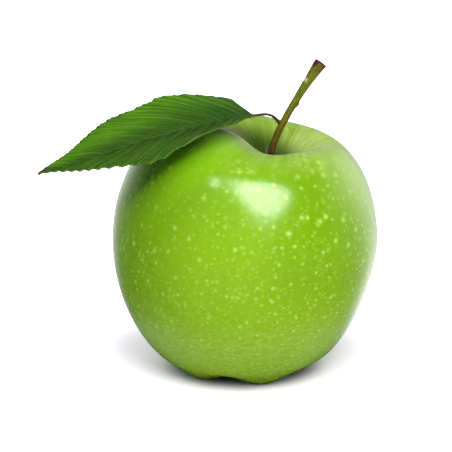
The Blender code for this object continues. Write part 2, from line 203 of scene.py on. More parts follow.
# The room's pale walls: direction, narrowness, and strength as light and as seen in gleams
ROOM = (
    ((0.6, 0.8, 0.12), 6.0, 0.8, 0.2),
    ((0.72, 0.69, 0.0), 8.0, 0.0, 0.95),
    ((-0.4, 0.9, -0.05), 9.0, 0.0, 1.0),
    ((0.85, 0.5, 0.1), 8.0, 0.2, 0.6),
    ((-0.6, 0.8, 0.12), 6.0, 0.3, 0.05),
    ((0.0, -0.7, 0.7), 4.0, 0.2, 0.1),
    ((-0.1, -0.95, 0.25), 4.0, 0.5, 0.05),
    ((-0.5, -0.3, 0.8), 5.0, 1.8, 0.1),
)
WHITE, BLACK = (1.0, 1.0, 1.0), (0.0, 0.0, 0.0)
# The table's colour. To the camera it is brighter by these factors left and right of the apple, as an
# overexposed backdrop is, and goes over into plain white between two distances from it.
TABLE_COLOUR = (0.88, 0.835, 0.935)
TABLE_GAIN = (1.5, 1.45)
TABLE_MIDDLE = (-30.0, 30.0)
TABLE_WHITE = (36.0, 75.0)
# In gleams it goes over into the room's walls between two distances, and is dimmer in front by a share.
TABLE_FAR = (20.0, 62.0)
TABLE_FRONT = (50.0, -100.0)
TABLE_DIM = 0.6
# A contact shadow is painted under the fruit: the table reaches its own colour this far from the foot, in
# gleams further out.
PAINTED_SHADOW_REACH = (14.0, 26.0)
PAINTED_SHADOW_GLEAM_REACH = (20.0, 60.0)
PAINTED_SHADOW_LEAST = 0.12
TABLE_HALF = 6000.0
TABLE_DROP = 0.03


# Shapes


def spline_at(points, knots, where):
    """A natural cubic curve through the points at these knots, read at other places along it."""
    points, knots, where = np.array(points, float), np.array(knots, float), np.array(where, float)
    gaps = np.diff(knots)
    size = len(knots)
    system = np.eye(size)
    right = np.zeros_like(points)
    for i in range(1, size - 1):
        system[i, i - 1:i + 2] = gaps[i - 1], 2 * (gaps[i - 1] + gaps[i]), gaps[i]
        right[i] = 6 * ((points[i + 1] - points[i]) / gaps[i] - (points[i] - points[i - 1]) / gaps[i - 1])
    bend = np.linalg.solve(system, right)
    i = np.clip(np.searchsorted(knots, where, side="right") - 1, 0, size - 2)
    gap, before, after = gaps[i][:, None], (where - knots[i])[:, None], (knots[i + 1] - where)[:, None]
    return (
        (bend[i] * after**3 + bend[i + 1] * before**3) / (6 * gap)
        + (points[i] / gap - bend[i] * gap / 6) * after
        + (points[i + 1] / gap - bend[i + 1] * gap / 6) * before
    )


def chord_lengths(points):
    points = np.array(points, float)
    return np.concatenate([[0.0], np.cumsum(np.linalg.norm(np.diff(points, axis=0), axis=1))])


def spline(points, spacing):
    """Points on a natural cubic curve through the given ones, at most so far apart."""
    knots = chord_lengths(points)
    return spline_at(points, knots, np.concatenate([
        np.linspace(a, b, math.ceil((b - a) / spacing), endpoint=False) for a, b in zip(knots, knots[1:])
    ] + [knots[-1:]]))


def table_at(table, share):
    """A table's value at shares of a length, straight between its places."""
    return np.interp(share, *np.array(table).T)


def unit(vectors):
    return vectors / np.linalg.norm(vectors, axis=-1, keepdims=True)


def points_at(x, y, z):
    """Points from their coordinates, which are spread to one shape."""
    return np.stack(np.broadcast_arrays(x, y, z), axis=-1)


def fade(start, end, value):
    """0 before start, 1 after end, and smooth between."""
    share = np.clip((value - start) / (end - start), 0.0, 1.0)
    return share * share * (3 - 2 * share)


def rim_height(azimuth):
    """The rise of the rim at an azimuth, on a smooth curve through its heights and round."""
    count = len(RIM_HEIGHTS)
    heights = np.array(RIM_HEIGHTS * 3)[:, None]
    knots = RIM_FIRST + 2 * math.pi / count * (np.arange(3 * count) - count)
    turned = RIM_FIRST + np.mod(azimuth - RIM_FIRST, 2 * math.pi)
    return spline_at(heights, knots, turned.ravel())[:, 0].reshape(turned.shape)


def grow(radius, azimuth, height):
    """Where a point of the plain turned fruit lies in the grown one, which has lobes and leans."""
    radius, azimuth, height = np.broadcast_arrays(np.array(radius, float), azimuth, height)
    lobe = np.sqrt(np.cos(LOBES / 2 * (azimuth - LOBE_AZIMUTH)) ** 2 + LOBE_SHARPNESS)
    foot = np.exp(-(((radius - LOBE_RADIUS) / LOBE_SPREAD) ** 2)) * fade(*LOBE_FADE, height)
    z = height - LOBE_DROP * (lobe - LOBE_MEAN) * foot
    rim = np.exp(-(((radius - RIM_RADIUS) / RIM_SPREAD) ** 2)) * fade(*RIM_FADE, z)
    z = z + rim_height(azimuth) * rim
    offset = CAVITY_OFFSET * (1 - fade(*CAVITY_REACH, radius)) * fade(*CAVITY_FADE, height)
    x = radius * np.cos(azimuth) + offset
    y = radius * np.sin(azimuth)
    angle = LEAN * fade(*LEAN_FADE, z)
    above = z - LEAN_PIVOT
    x, z = x * np.cos(angle) + above * np.sin(angle), LEAN_PIVOT - x * np.sin(angle) + above * np.cos(angle)
    x = x + DRIFT * fade(*DRIFT_FADE, z)
    return points_at(x, y, np.maximum(z, 0.0))


def grow_on_axis(*heights):
    return grow([0.0] * len(heights), [0.0] * len(heights), heights)


def ring_faces(rings, around):
    """Quads between rings of points, the first ring uppermost or innermost."""
    i, j = np.meshgrid(np.arange(rings - 1), np.arange(around), indexing="ij")
    k = (j + 1) % around
    quads = np.stack([i * around + j, (i + 1) * around + j, (i + 1) * around + k, i * around + k], axis=-1)
    return [tuple(quad) for quad in quads.reshape(-1, 4).tolist()]


def fan(ring_start, around, centre, turned):
    pairs = [(ring_start + j, ring_start + (j + 1) % around) for j in range(around)]
    return [(b, a, centre) if turned else (a, b, centre) for a, b in pairs]


def frames(path):
    """A direction along a path and two across it, at each of its points, without twist."""
    along = unit(np.gradient(path, axis=0))
    side = unit(np.cross(along, (0.0, 1.0, 0.0)))
    return along, side, np.cross(along, side)


def tube(path, radii, sides, dish=0.0):
    """Points and faces of a closed tube, its last end dished in. radii has a number or a row a ring."""
    along, side, up = frames(path)
    turn = np.arange(sides) * 2 * math.pi / sides
    radii = np.broadcast_to(np.array(radii, float).reshape(len(path), -1), (len(path), sides))
    ring = side[:, None] * np.cos(turn)[None, :, None] + up[:, None] * np.sin(turn)[None, :, None]
    points = path[:, None] + radii[:, :, None] * ring
    faces = [face[::-1] for face in ring_faces(len(path), sides)]
    points = np.concatenate([points.reshape(-1, 3), [path[0], path[-1] - dish * along[-1]]])
    faces += fan(0, sides, len(points) - 2, turned=True)
    faces += fan((len(path) - 1) * sides, sides, len(points) - 1, turned=False)
    return points, faces


def add_piece(name, points, faces, materials, face_materials=None, marks=None):
    """A shown piece, from millimetres round the fruit's foot. marks are values that its material reads."""
    mesh = bpy.data.meshes.new(name)
    mesh.from_pydata([(Vector(p) + FOOT) * MM for p in points], [], faces)
    for made in materials:
        mesh.materials.append(made)
    if face_materials is not None:
        mesh.polygons.foreach_set("material_index", face_materials)
    for mark, values in (marks or {}).items():
        values = np.array(values, float)
        kind, field = ("FLOAT", "value") if values.ndim == 1 else ("FLOAT_VECTOR", "vector")
        mesh.attributes.new(mark, kind, "POINT").data.foreach_set(field, values.ravel())
    mesh.shade_smooth()
    obj = bpy.data.objects.new(name, mesh)
    bpy.context.scene.collection.objects.link(obj)
    return obj


# Materials


def linear(red, green, blue):
    """A colour named by its screen values, 0 to 255."""
    shares = (value / 255 for value in (red, green, blue))
    return tuple(((share + 0.055) / 1.055) ** 2.4 if share > 0.04 else share / 12.92 for share in shares)


class Nodes:
    """Short ways to build the nodes of one tree. Most methods return the socket they make."""

    def __init__(self, owner):
        owner.use_nodes = True
        self.tree = owner.node_tree

    def put(self, socket, value):
        if isinstance(value, bpy.types.NodeSocket):
            self.tree.links.new(value, socket)
        elif value is not None:
            socket.default_value = value

    def node(self, kind, inputs=None, **settings):
        made = self.tree.nodes.new(kind)
        for key, value in settings.items():
            setattr(made, key, value)
        for key, value in (inputs or {}).items():
            self.put(made.inputs[key], value)
        return made

    def math(self, operation, a, b=None, clamp=False):
        return self.node("ShaderNodeMath", {0: a, 1: b}, operation=operation, use_clamp=clamp).outputs[0]

    def product(self, first, *others):
        for other in others:
            first = self.math("MULTIPLY", first, other)
        return first

    def total(self, first, *others):
        for other in others:
            first = self.math("ADD", first, other)
        return first

    def greatest(self, first, *others):
        for other in others:
            first = self.math("MAXIMUM", first, other)
        return first

    def vector(self, operation, a, b=None):
        """A vector operation's result, which is a number for a length and a dot product."""
        made = self.node("ShaderNodeVectorMath", {0: a, 1: b}, operation=operation)
        return made.outputs["Value" if operation in ("LENGTH", "DOT_PRODUCT") else "Vector"]

    def parts(self, vector):
        return self.node("ShaderNodeSeparateXYZ", {0: vector}).outputs


class Look(Nodes):
    """A material and ways to build its nodes. Colours are given by their screen values, 0 to 255."""

    def __init__(self, name, roughness, specular):
        self.material = bpy.data.materials.new(name)
        super().__init__(self.material)
        self.shader = self.tree.nodes["Principled BSDF"]
        self.shader.inputs["Roughness"].default_value = roughness
        self.shader.inputs["Specular IOR Level"].default_value = specular

    def mark(self, name, vector=False):
        made = self.node("ShaderNodeAttribute", attribute_name=name)
        return made.outputs["Vector" if vector else "Fac"]

    def place(self):
        return self.node("ShaderNodeTexCoord").outputs["Object"]

    def span(self, value, low, high, to_low=0.0, to_high=1.0):
        """value from low to high, smoothly carried to to_low to to_high and held outside."""
        inputs = {"Value": value, "From Min": low, "From Max": high, "To Min": to_low, "To Max": to_high}
        return self.node("ShaderNodeMapRange", inputs, interpolation_type="SMOOTHSTEP").outputs[0]

    def span_mm(self, value, ends, to_low=0.0, to_high=1.0):
        """The same for a length, between two ends in millimetres."""
        return self.span(value, ends[0] * MM, ends[1] * MM, to_low, to_high)

    def noise(self, vector, scale, detail=2.0, roughness=0.5):
        inputs = {"Vector": vector, "Scale": scale, "Detail": detail, "Roughness": roughness}
        return self.node("ShaderNodeTexNoise", inputs).outputs[0]

    def cells(self, vector, scale):
        return self.node("ShaderNodeTexVoronoi", {"Vector": vector, "Scale": scale}).outputs

    def net(self, vector, scale):
        """Fine lines between irregular cells."""
        inputs = {"Vector": vector, "Scale": scale}
        edge = self.node("ShaderNodeTexVoronoi", inputs, feature="DISTANCE_TO_EDGE").outputs[0]
        return self.span(edge, 0.14, 0.03)

    def stretch(self, vector, scale):
        return self.vector("MULTIPLY", vector, scale)

    def sway(self, vector, scale, detail, reach):
        """A place pushed about by noise, by up to so much along each axis."""
        made = self.node("ShaderNodeTexNoise", {"Vector": vector, "Scale": scale, "Detail": detail})
        return self.vector("ADD", vector, self.stretch(made.outputs["Color"], reach))

    def mix(self, share, a, b):
        """Colour a where share is 0 and b where it is 1. A tuple here is a linear colour."""
        made = self.node("ShaderNodeMix", data_type="RGBA")
        for socket, value in ((made.inputs[0], share), (made.inputs[6], a), (made.inputs[7], b)):
            self.put(socket, (*value, 1.0) if isinstance(value, tuple) else value)
        return made.outputs[2]

    def tint(self, colour, share, screen, strength=None):
        """colour carried towards a screen colour by a share, which strength may scale."""
        if strength is not None:
            share = self.product(share, strength)
        return self.mix(share, colour, linear(*screen))

    def ramp(self, value, stops):
        """A colour that follows value through (place, screen colour) stops."""
        made = self.node("ShaderNodeValToRGB", {0: value})
        ramp = made.color_ramp
        ramp.interpolation = "EASE"
        while len(ramp.elements) < len(stops):
            ramp.elements.new(0.5)
        for element, (place, screen) in zip(ramp.elements, stops):
            element.position = place
            element.color = (*linear(*screen), 1.0)
        return made.outputs[0]

    def finish(self, colour, relief=None, depth=0.0, roughness=None):
        """Joins colour, roughness and relief to the shader. depth is the relief's height in millimetres."""
        self.put(self.shader.inputs["Base Color"], colour)
        self.put(self.shader.inputs["Roughness"], roughness)
        if relief is not None:
            bump = self.node("ShaderNodeBump", {"Strength": 1.0, "Distance": depth * MM, "Height": relief})
            self.put(self.shader.inputs["Normal"], bump.outputs[0])
        return self.material


class Skin(Look):
    """Waxy green skin. Each step lays one kind of mark over the colour so far and returns the new colour."""

    def __init__(self):
        super().__init__("green_skin", roughness=0.15, specular=0.4)
        self.down = self.mark("down")  # 0 at the stem, 1 at the basin's floor
        self.dots_at = self.mark("dots_at", vector=True)
        self.streaks_at = self.mark("streaks_at", vector=True)
        # How far to the right and to the back, from -1 to 1, whatever the height
        sides = self.parts(self.stretch(self.streaks_at, (1 / WIDEST, 1 / WIDEST, 1.0)))
        self.rightward, self.backward = sides[0], sides[1]
        self.leafward = self.vector("DOT_PRODUCT", self.place(), LEAFWARD)
        self.bent = self.sway(self.streaks_at, 0.2, 2.0, (6.0, 6.0, 0.0))
        self.mottle = self.noise(self.dots_at, 0.9, 3.0, 0.65)
        # Where the leaf's shadow is painted on the skin
        self.painted_leaf_shadow = self.product(
            self.span_mm(self.leafward, PAINTED_LEAF_SHADOW_REACH), self.span(self.down, 0.2, 0.26),
            self.span(self.backward, 0.3, -0.1), self.span(self.rightward, -1.0, -0.82, 0.35, 1.0))

    def band(self, rise_from, rise_to, fall_from, fall_to):
        """1 along a stretch of the way down, fading out before and after it."""
        return self.product(
            self.span(self.down, rise_from, rise_to), self.span(self.down, fall_to, fall_from))

    def ground(self):
        colour = self.ramp(self.down, SKIN_TONES)
        drift = self.span(self.noise(self.dots_at, 0.035, 2.0), 0.35, 0.65)
        return self.tint(colour, drift, (124, 164, 10), 0.3)

    def painted_light_and_shade(self, colour):
        """Painted light and shade: a deeper green on the left, on the right flank and under the leaf, where
        its shadow is painted, and a lighter pool beside the leaf.
        """
        # Painted shade on the left, where less light falls
        left = self.product(self.span(self.rightward, -0.25, -0.9), self.span(self.down, 0.2, 0.35))
        colour = self.tint(colour, left, (88, 134, 6), 0.8)
        # Painted shade on the right of the front
        right = self.product(
            self.span(self.rightward, -0.05, 0.35), self.span(self.rightward, 1.0, 0.75),
            self.band(0.20, 0.30, 0.50, 0.62))
        colour = self.tint(colour, right, (86, 134, 0), 0.32)
        # A painted pool of light beside the leaf's painted shadow
        painted_light = self.product(
            self.span_mm(self.leafward, PAINTED_LIGHT_REACH), self.span(self.rightward, -0.95, -0.55),
            self.span(self.backward, 0.1, -0.2))
        colour = self.tint(colour, painted_light, (136, 200, 16), 0.8)
        # The leaf's shadow, painted as a deep green
        return self.tint(colour, self.painted_leaf_shadow, (20, 72, 0), 0.9)

    def streaks(self, colour):
        """Faint streaks from stem to foot, a fine mottle, and short strokes across, mostly low down."""
        streak = self.noise(self.stretch(self.streaks_at, (1.0, 1.0, 0.06)), 0.6, 3.0, 0.6)
        colour = self.tint(colour, self.span(streak, 0.35, 0.75, 0.0, 0.12), (136, 176, 20))
        colour = self.tint(colour, self.span(self.mottle, 0.4, 0.8, 0.0, 0.2), (88, 136, 4))
        strokes = self.noise(self.stretch(self.streaks_at, (1.0, 1.0, 3.5)), 0.45, 3.0, 0.6)
        low_down = self.span(self.down, 0.5, 0.75, 0.1, 0.55)
        return self.tint(colour, self.span(strokes, 0.4, 0.65), (142, 176, 48), low_down)

    def rays(self, colour):
        """Pale rays that run over the shoulder into the cavity, most of all on the right, and painted light
        on the cavity's right wall.
        """
        shoulder = self.product(
            self.band(0.05, 0.13, 0.17, 0.30), self.span(self.rightward, -0.7, 0.5, 0.6, 1.0))
        # Painted light on the cavity's right wall
        painted_right_wall_light = self.product(self.span(self.rightward, 0.45, 0.85), self.band(0.05, 0.10, 0.16, 0.24))
        colour = self.tint(colour, painted_right_wall_light, (182, 202, 118), 0.6)
        broad = self.noise(self.stretch(self.bent, (1.0, 1.0, 0.10)), 0.13, 2.0, 0.5)
        fine = self.noise(self.stretch(self.bent, (1.0, 1.0, 0.14)), 0.33, 4.0, 0.65)
        rays = self.total(self.span(fine, 0.38, 0.76, 0.0, 0.6), self.span(broad, 0.35, 0.65, 0.0, 0.6))
        rays = self.math("MULTIPLY", rays, shoulder, clamp=True)
        colour = self.tint(colour, rays, (176, 198, 110), 0.65)
        between = self.product(self.span(fine, 0.52, 0.32), shoulder)
        return self.tint(colour, between, (104, 146, 30), 0.45)

    def painted_sheen(self, colour):
        """Painted sheen: a pale wash on the right of the shoulder, and a pale painted highlight on the rim
        at the left of the front.
        """
        # Painted sheen on the right of the shoulder
        right = self.product(
            self.span(self.rightward, 0.5, 0.95), self.span(self.down, 0.19, 0.24),
            self.span(self.down, 0.42, 0.28, 0.0, 0.32))
        colour = self.tint(colour, right, (190, 212, 128))
        # Painted highlight along the rim at the left of the front
        painted_lip_sheen = self.product(
            self.span(self.rightward, 0.1, -0.45), self.band(0.145, 0.165, 0.18, 0.225),
            self.span(self.backward, 0.2, -0.1))
        return self.tint(colour, painted_lip_sheen, (138, 156, 100), 0.65)

    def cavity(self, colour):
        """Painted shade darkens the cavity to its floor, and brown cork lies there and on its left wall."""
        # Painted shade, deepest at the cavity's floor
        deep = self.span(self.total(self.down, self.product(self.rightward, 0.03)), 0.148, 0.075)
        colour = self.tint(colour, deep, (34, 58, 6), 0.85)
        cork = self.noise(self.stretch(self.bent, (1.0, 1.0, 0.4)), 0.45, 3.0, 0.6)
        cork = self.span(cork, 0.35, 0.6, 0.3, 1.0)
        left_wall = self.product(
            self.span(self.rightward, -0.6, -0.9), self.span(self.down, 0.18, 0.13), cork)
        colour = self.tint(colour, left_wall, (96, 94, 26), 0.75)
        return self.tint(colour, self.span(self.down, 0.075, 0.0), (62, 46, 14), cork)

    def painted_low_light(self, colour):
        """Painted light with a pale sheen, low down on the left and on the right."""
        painted_low_share = self.span(self.math("ABSOLUTE", self.rightward), 0.3, 0.75)
        painted_low_share = self.product(painted_low_share, self.band(0.58, 0.72, 0.76, 0.86))
        return self.tint(colour, painted_low_share, (150, 192, 90), 0.25)

    def dots(self):
        """How much of each pale dot shows at a place, and of its paler middle. The cavity has few dots."""
        common = self.span(self.down, 0.12, 0.2)
        at = self.sway(self.dots_at, 1.1, 1.0, (0.45, 0.45, 0.45))
        spots, middles = [], []
        for scale, least, most, strength in DOT_LAYERS:
            shift = DOT_LAYER_SHIFT * scale
            cells = self.cells(self.vector("ADD", at, (shift, shift, shift)), scale)
            chance = self.node("ShaderNodeSeparateColor", {0: cells["Color"]}).outputs
            shown = self.product(self.span(chance[0], 0.1, 0.9, 0.25 * strength, strength), common)
            edge = self.math("DIVIDE", cells["Distance"], self.span(chance[1], 0.0, 1.0, least, most))
            spots.append(self.product(self.span(edge, 1.0, 0.15), shown))
            middles.append(self.product(self.span(edge, 0.7, 0.0, 0.0, 0.7), self.math("POWER", shown, 2.0)))
        # They stand out most on the right, and least under the leaf, where they are dimmed within its
        # painted shadow.
        plain = self.math("SUBTRACT", 1.0, self.product(self.painted_leaf_shadow, 0.7))
        plain = self.product(plain, self.span(self.rightward, -0.7, 0.8, 0.65, 1.2))
        return [self.math("MULTIPLY", self.greatest(*layers), plain, clamp=True)
                for layers in (spots, middles)]


def skin_material():
    skin = Skin()
    colour = skin.ground()
    for step in (skin.painted_light_and_shade, skin.streaks, skin.rays, skin.painted_sheen, skin.cavity, skin.painted_low_light):
        colour = step(colour)
    spots, middles = skin.dots()
    colour = skin.tint(colour, spots, (150, 188, 66))
    colour = skin.tint(colour, middles, (172, 202, 108))
    peel = skin.product(skin.noise(skin.dots_at, 0.6, 3.0, 0.6), 1.8)
    fine = skin.product(skin.noise(skin.dots_at, 1.5, 2.0), 0.35)
    relief = skin.total(peel, fine, skin.product(spots, 0.3))
    # The wax is duller on the rim.
    rim = skin.product(skin.band(0.12, 0.16, 0.2, 0.26), 0.15)
    roughness = skin.total(skin.span(skin.mottle, 0.3, 0.8, 0.15, 0.24), rim)
    return skin.finish(colour, relief, 0.02, roughness)


def stem_material():
    """Olive bark with brown streaks, small corky spots, a pale scar, and a darker foot and cut end."""
    look = Look("stem_bark", roughness=0.6, specular=0.12)
    along = look.mark("along")
    turn_at = look.mark("turn_at", vector=True)
    side = look.parts(turn_at)[0]
    colour = look.ramp(along, STEM_TONES)
    bark = look.noise(look.stretch(turn_at, (1.0, 1.0, 0.12)), 1.3, 4.0, 0.65)
    brown = look.total(look.span(side, 0.3, -0.9, 0.0, 0.6), look.span(bark, 0.45, 0.7, -0.1, 0.5))
    brown = look.math("MULTIPLY", brown, look.span(along, 0.95, 0.62, 0.35, 1.0), clamp=True)
    colour = look.tint(colour, brown, (92, 50, 4))
    green = look.noise(look.stretch(turn_at, (1.0, 1.0, 0.25)), 2.2, 3.0, 0.6)
    colour = look.tint(colour, look.span(green, 0.5, 0.75, 0.0, 0.55), (120, 134, 26))
    spot = look.span(look.cells(look.place(), 900.0)["Distance"], 0.32, 0.16)
    colour = look.tint(colour, spot, (60, 32, 12), 0.6)
    scar = look.product(look.span(along, 0.825, 0.84), look.span(along, 0.87, 0.85))
    colour = look.tint(colour, scar, (176, 172, 122), look.span(side, 0.1, 0.7))
    dead = look.product(look.span(along, 0.93, 0.985), look.span(side, 0.0, 0.8))
    end = look.greatest(look.span(along, 0.99, 1.0, 0.0, 0.8), dead)
    colour = look.tint(colour, end, (66, 22, 14))
    return look.finish(colour, look.total(bark, look.product(spot, -0.3)), 0.25)


def leaf_top_material():
    """The leaf's upper face: deep green, streaked along the veins, with a net of fine veins between them."""
    look = Look("leaf_top", roughness=0.66, specular=0.05)
    place = look.place()
    vein_gap, rib_gap, across, along, half = (look.mark(name) for name in BLADE_MARKS)
    # Painted light and shade: the half towards the apple's front is a shaded copy of the green and the half
    # away from it a lit one; both grow lighter towards the margin, the far half also towards the tip
    painted_near_shade = look.mix(look.span(across, 0.1, 0.9), linear(28, 58, 10), linear(50, 92, 10))
    outward = look.product(look.span(across, 0.1, 0.85), look.span(along, 0.2, 0.7, 0.75, 1.0))
    painted_far_light = look.mix(outward, linear(34, 76, 8), linear(80, 136, 6))
    colour = look.mix(look.span(half, -0.25, 0.25), painted_near_shade, painted_far_light)

    # The blade is darkest and bluest by its base.
    colour = look.tint(colour, look.span(along, 0.30, 0.02, 0.0, 0.7), (34, 70, 26))
    blotch = look.noise(place, 110.0, 3.0, 0.6)
    colour = look.tint(colour, look.span(blotch, 0.42, 0.7, 0.0, 0.4), (60, 84, 12))
    streaks = look.noise(look.stretch(look.mark("streak_at", vector=True), (1.0, 0.1, 1.0)), 0.9, 3.0, 0.65)
    colour = look.tint(colour, look.span(streaks, 0.62, 0.35, 0.0, 0.42), (26, 50, 12))
    colour = look.tint(colour, look.span(streaks, 0.5, 0.75, 0.0, 0.3), (96, 136, 46))

    # The veins, from the finest to the midrib, with painted shade in the grooves beside the side veins
    net = look.net(place, 1100.0)
    colour = look.tint(colour, net, (80, 112, 40), 0.2)
    vein = look.span(vein_gap, 0.30, 0.08)
    colour = look.tint(colour, vein, (86, 118, 52), look.span(half, -0.3, 0.3, 0.45, 0.2))
    # Painted shade in the grooves beside the side veins
    groove = look.product(look.span(vein_gap, 0.15, 0.45), look.span(vein_gap, 0.9, 0.45))
    colour = look.tint(colour, groove, (28, 54, 14), 0.4)
    rib = look.span(rib_gap, 0.5, 0.2)
    colour = look.tint(colour, rib, (84, 112, 44), look.span(along, 0.1, 0.5, 0.1, 0.4))

    # The tip is dry, and a thin line runs along the margin, pale on the near half and dark on the far half.
    colour = look.tint(colour, look.span(along, 0.90, 1.0, 0.0, 0.85), (46, 38, 26))
    edge_tone = look.mix(look.span(half, -0.2, 0.2), linear(74, 110, 34), linear(44, 66, 14))
    colour = look.mix(look.span(across, 0.975, 1.0, 0.0, 0.8), colour, edge_tone)
    relief = look.math("SUBTRACT", look.noise(place, 700.0, 2.0), look.product(net, 0.5))
    return look.finish(colour, look.total(relief, look.product(streaks, 2.0)), 0.08)


def leaf_underside_material():
    """The leaf's lower face: pale and dull, with the veins standing out."""
    look = Look("leaf_underside", roughness=0.75, specular=0.25)
    place = look.place()
    vein_gap, rib_gap = look.mark("vein_gap"), look.mark("rib_gap")
    blotch = look.span(look.noise(place, 150.0, 3.0), 0.4, 0.7)
    colour = look.mix(blotch, linear(84, 118, 58), linear(102, 134, 68))
    net = look.net(place, 900.0)
    colour = look.tint(colour, net, (140, 164, 104), 0.4)
    vein = look.greatest(look.span(vein_gap, 0.4, 0.12), look.span(rib_gap, 0.7, 0.3))
    colour = look.tint(colour, vein, (152, 172, 108), 0.7)
    return look.finish(colour, look.total(net, vein), 0.08)


def rib_material():
    """Midrib and petiole: brownish green near the stem, pale green along the blade."""
    look = Look("leaf_rib", roughness=0.6, specular=0.25)
    colour = look.ramp(look.mark("along"), RIB_TONES)
    grain = look.noise(look.place(), 1500.0, 3.0)
    colour = look.tint(colour, look.span(grain, 0.4, 0.7, 0.0, 0.4), (50, 46, 20))
    return look.finish(colour, grain, 0.05)


def calyx_material():
    """Dry grey-brown tissue with a felt of pale hairs."""
    look = Look("dry_calyx", roughness=0.85, specular=0.2)
    place = look.place()
    wrinkles = look.noise(place, 1600.0, 4.0, 0.7)
    colour = look.ramp(look.span(wrinkles, 0.25, 0.75), CALYX_TONES)
    felt = look.noise(place, 5200.0, 2.0)
    colour = look.tint(colour, look.span(felt, 0.5, 0.7, 0.0, 0.4), (172, 164, 130))
    return look.finish(colour, look.total(wrinkles, felt), 0.12)


def room_light(nodes, toward, gleam):
    """How bright the room is in a direction: as light where gleam is 0, as seen in gleams where it is 1."""
    total = 0.0
    for direction, narrowness, as_light, in_gleams in ROOM:
        along = nodes.vector("DOT_PRODUCT", toward, Vector(direction).normalized())
        fall = nodes.product(nodes.math("SUBTRACT", along, 1.0), narrowness)
        strength = nodes.total(nodes.product(gleam, in_gleams - as_light), as_light)
        total = nodes.total(total, nodes.product(nodes.math("POWER", math.e, fall), strength))
    return total


def table_material():
    """White board that shows overexposed, with a painted contact shadow under the fruit, and goes over into
    the room's walls in gleams.
    """
    look = Look("white_table", roughness=0.8, specular=0.1)
    path = look.node("ShaderNodeLightPath").outputs
    seen, gleam = path["Is Camera Ray"], path["Is Glossy Ray"]
    from_foot = look.vector("SUBTRACT", look.place(), FOOT * MM)
    rightward, backward = look.parts(from_foot)[:2]
    away = look.vector("LENGTH", from_foot)
    oval = look.vector("LENGTH", look.stretch(from_foot, (1.0, 1.3, 0.0)))

    # As the camera sees it
    left, right = (tuple(value * gain for value in TABLE_COLOUR) for gain in TABLE_GAIN)
    shown = look.mix(look.span_mm(rightward, TABLE_MIDDLE), left, right)
    colour = look.mix(seen, TABLE_COLOUR, shown)
    white = look.product(seen, look.span_mm(away, TABLE_WHITE))

    # As gleams show it
    far = look.span_mm(away, TABLE_FAR)
    dim = look.greatest(far, look.span_mm(backward, TABLE_FRONT, 0.0, TABLE_DIM))
    colour = look.mix(look.product(gleam, dim), colour, BLACK)
    wall = look.product(gleam, far, room_light(look, look.vector("NORMALIZE", from_foot), 1.0))

    # Painted contact shadow under the fruit
    painted_shadow_mask = look.span_mm(oval, PAINTED_SHADOW_REACH, PAINTED_SHADOW_LEAST)
    painted_shadow_mask = look.product(painted_shadow_mask, look.span_mm(oval, PAINTED_SHADOW_GLEAM_REACH, look.math("SUBTRACT", 1.0, gleam)))
    colour = look.mix(painted_shadow_mask, BLACK, colour)
    look.put(look.shader.inputs["Emission Strength"], look.total(white, wall))
    look.put(look.shader.inputs["Emission Color"], (*WHITE, 1.0))
    return look.finish(colour)


# Pieces


def dot_ball(section, azimuth):
    """Where each point of the turned skin lies on the ball that carries the dots."""
    radius = section[:, 0]
    steps = np.diff(chord_lengths(section)) * 2 / (radius[1:] + radius[:-1])
    climb = np.concatenate([[0.0], np.cumsum(steps)])
    climb -= climb[np.argmax(radius)]
    polar = 2 * np.arctan(DOT_SWELL * np.exp(-climb))[:, None]  # from the basin's pole
    out = np.sin(polar)
    return DOT_BALL * points_at(out * np.cos(azimuth), out * np.sin(azimuth), -np.cos(polar))


def make_skin():
    """The fruit as one fine skin, closed round the stem's foot and over the basin."""
    collar = spline(COLLAR + SECTION[:1], COLLAR_SPACING)
    section = np.concatenate([collar[:-1], spline(SECTION, RING_SPACING)])
    azimuth = np.arange(AROUND) * 2 * math.pi / AROUND
    points = grow(section[:, :1], azimuth, section[:, 1:]).reshape(-1, 3)
    top_centre, basin_centre = len(points), len(points) + 1
    points = np.concatenate([points, grow_on_axis(COLLAR[0][1], BASIN_FLOOR)])
    faces = ring_faces(len(section), AROUND)
    faces += fan(0, AROUND, top_centre, turned=False)
    faces += fan((len(section) - 1) * AROUND, AROUND, basin_centre, turned=True)

    length = chord_lengths(section)
    streaks = points_at(WIDEST * np.cos(azimuth), WIDEST * np.sin(azimuth), length[:, None]).reshape(-1, 3)
    dots = dot_ball(section, azimuth).reshape(-1, 3)
    marks = {
        "down": np.append(np.repeat(length / length[-1], AROUND), [0.0, 1.0]),
        "streaks_at": np.concatenate([streaks, [(0, 0, 0), (0, 0, length[-1])]]),
        "dots_at": np.concatenate([dots, [(0, 0, DOT_BALL), (0, 0, -DOT_BALL)]]),
    }
    skin = add_piece("apple_skin", points, faces, [skin_material()], marks=marks)
    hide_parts("fruit")
    return skin


